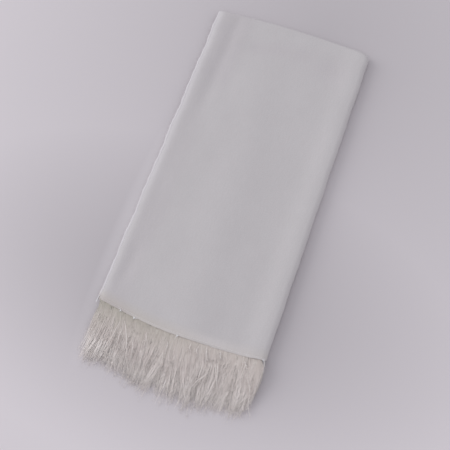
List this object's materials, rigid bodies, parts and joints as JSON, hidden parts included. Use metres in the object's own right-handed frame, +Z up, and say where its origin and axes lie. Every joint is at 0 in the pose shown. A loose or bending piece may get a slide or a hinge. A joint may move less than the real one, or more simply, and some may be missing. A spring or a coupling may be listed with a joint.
{
  "type": "folded hijab shawl with feather trim",
  "caption": "Sheer white shawl hijab with a cream feather trim on its short ends, folded into a flat oblong packet with the feathers at one end.",
  "frame": {"origin": "middle of the folded packet's underside, on the table", "axes": "+Z up from the table, +Y from the feathered end towards the far fold, +X towards the long fold"},
  "size_m": [0.252, 0.6162, 0.0154],
  "materials": {
    "chiffon": "sheer matt crepe weave with a faint sheen",
    "feather": "soft cream feather barbs"
  },
  "bodies": {
    "root": {"shawl_outer_leaf": "chiffon", "shawl_folded_layers": "chiffon", "feather_trim_upper": "feather", "feather_trim_lower": "feather"}
  },
  "joints": []
}
